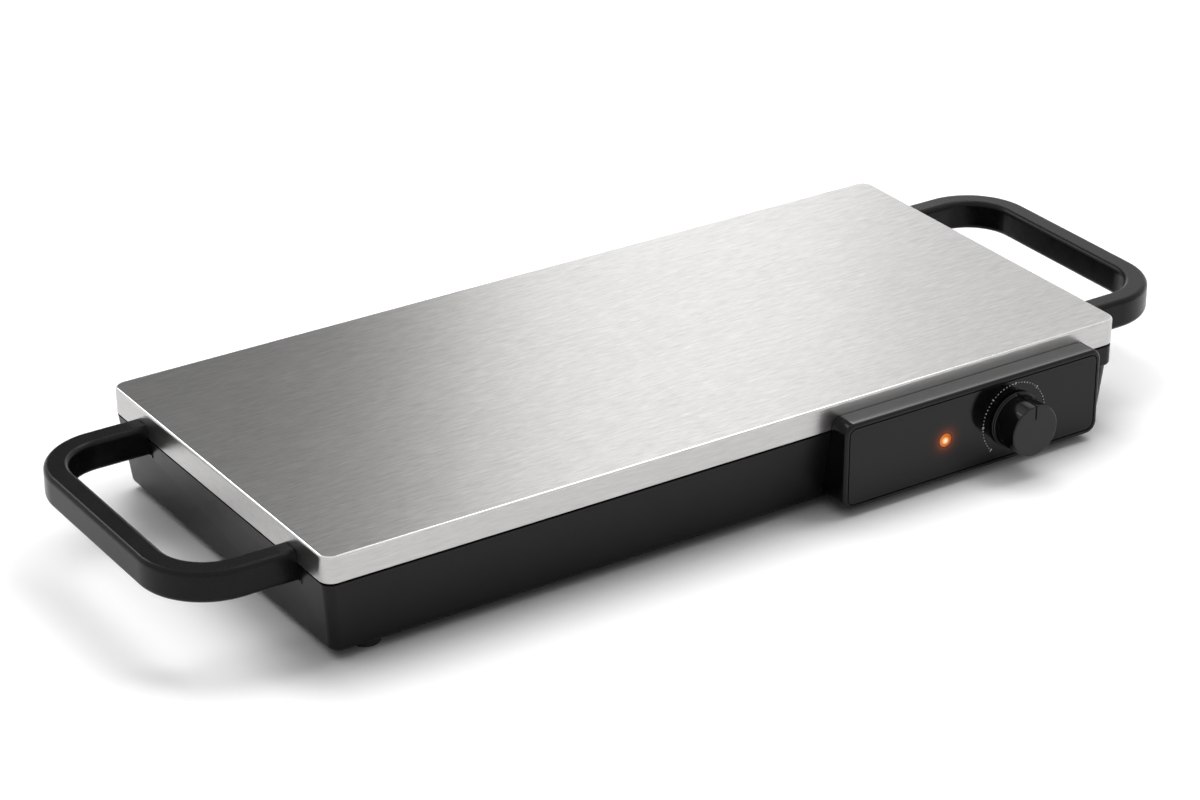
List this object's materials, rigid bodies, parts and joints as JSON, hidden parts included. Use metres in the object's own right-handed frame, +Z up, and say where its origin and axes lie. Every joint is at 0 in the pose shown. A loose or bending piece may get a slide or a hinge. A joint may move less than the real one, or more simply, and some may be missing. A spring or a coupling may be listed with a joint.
{
  "type": "electric food warming tray",
  "caption": "Flat electric warming tray: brushed steel hot plate on a black moulded base, loop handles at the ends and a thermostat knob with a pilot lamp on a front pod.",
  "frame": {"origin": "on the table at the level of the feet, under the middle of the whole object's bounding box", "axes": "+X to the user's right along the tray's length, +Y from the control side to the back, +Z up"},
  "size_m": [0.6356, 0.2626, 0.063],
  "materials": {
    "plate_steel": "fine brushing along the length",
    "zinc_steel": "zinc plated",
    "aluminium_sheet": "mill finish",
    "brass": "plain",
    "copper": "plain",
    "mica": "bonded mica sheet",
    "mineral_wool": "mineral wool",
    "base_black": "satin moulded, heat resistant",
    "handle_black": "satin moulded",
    "fascia_black": "smooth satin",
    "knob_black": "smooth satin",
    "inlet_black": "satin moulded",
    "foot_rubber": "matt",
    "dial_print": "printed",
    "lens_orange": "clear orange, lit",
    "ceramic": "glazed ceramic",
    "lead_brown": "silicone sleeve",
    "lead_blue": "silicone sleeve",
    "lead_red": "silicone sleeve",
    "lead_white": "silicone sleeve",
    "lead_green": "silicone sleeve"
  },
  "bodies": {
    "warmer": {"warming_plate": "plate_steel", "plate_bushes": "zinc_steel", "clamp_studs": "zinc_steel", "heat_spreader": "aluminium_sheet", "upper_mica": "mica", "heating_ribbon": "zinc_steel", "element_tabs": "zinc_steel", "lower_mica": "mica", "clamp_plate": "zinc_steel", "insulation_blanket": "mineral_wool", "spacer_tubes": "zinc_steel", "heat_shield": "zinc_steel", "clamp_washers": "zinc_steel", "clamp_nuts": "zinc_steel", "base_tub": "base_black", "base_screws": "zinc_steel", "rubber_feet": "foot_rubber", "foot_screws": "zinc_steel", "left_handle": "handle_black", "right_handle": "handle_black", "handle_inserts": "brass", "left_strap": "zinc_steel", "right_strap": "zinc_steel", "handle_washers": "zinc_steel", "handle_screws": "zinc_steel", "control_housing": "base_black", "housing_screws": "zinc_steel", "fascia": "fascia_black", "dial_marks": "dial_print", "lamp_lens": "lens_orange", "lamp_body": "ceramic", "lamp_retainer": "zinc_steel", "thermostat_frame": "zinc_steel", "thermostat_body": "ceramic", "thermostat_tabs": "brass", "bush_nut": "zinc_steel", "capillary_tube": "copper", "sensing_bulb": "copper", "bulb_clip": "zinc_steel", "thermal_fuse": "ceramic", "fuse_clip": "zinc_steel", "terminal_block": "ceramic", "block_screws": "zinc_steel", "power_inlet": "inlet_black", "inlet_pins": "brass", "inlet_screws": "zinc_steel", "inlet_nuts": "zinc_steel", "live_lead": "lead_brown", "neutral_lead": "lead_blue", "load_lead": "lead_red", "element_lead": "lead_blue", "lamp_leads": "lead_white", "earth_lead": "lead_green"},
    "knob": {"knob": "knob_black", "knob_spring": "zinc_steel", "thermostat_spindle": "zinc_steel"}
  },
  "joints": [
    {"name": "knob_turn", "type": "hinge", "parent": "warmer", "child": "knob", "pos_m": [0.1683, -0.1134, 0.029], "axis": [0, 1, 0], "range_deg": [-135, 135]}
  ]
}
